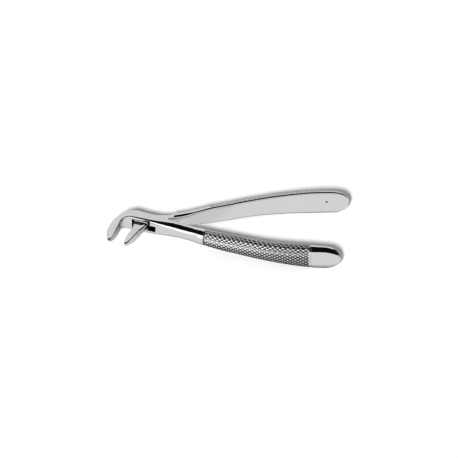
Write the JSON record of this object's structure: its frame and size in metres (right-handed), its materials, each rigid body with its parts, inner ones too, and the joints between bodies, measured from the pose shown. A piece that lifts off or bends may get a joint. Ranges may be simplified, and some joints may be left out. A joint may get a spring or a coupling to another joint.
{
  "type": "extraction forceps",
  "caption": "Lower-jaw dental extraction forceps with a box joint, right-angled beaks and knurled handles.",
  "frame": {"origin": "on the hinge axis, in the plane of the lower cheek's flat face", "axes": "+Z along the hinge axis, out of the upper cheek; +X from the hinge towards the handle ends; the beaks point towards -Y"},
  "size_m": [0.1664, 0.0872, 0.0165],
  "materials": {
    "polished_steel": "polished",
    "pin_steel": "polished"
  },
  "bodies": {
    "box_body": {"box_half": "polished_steel", "hinge_pin": "pin_steel"},
    "tongue_body": {"tongue_half": "polished_steel"}
  },
  "joints": [
    {"name": "hinge", "type": "hinge", "parent": "box_body", "child": "tongue_body", "pos_m": [0, 0, 0.00525], "axis": [0, 0, 1], "range_deg": [-18, 8]}
  ]
}
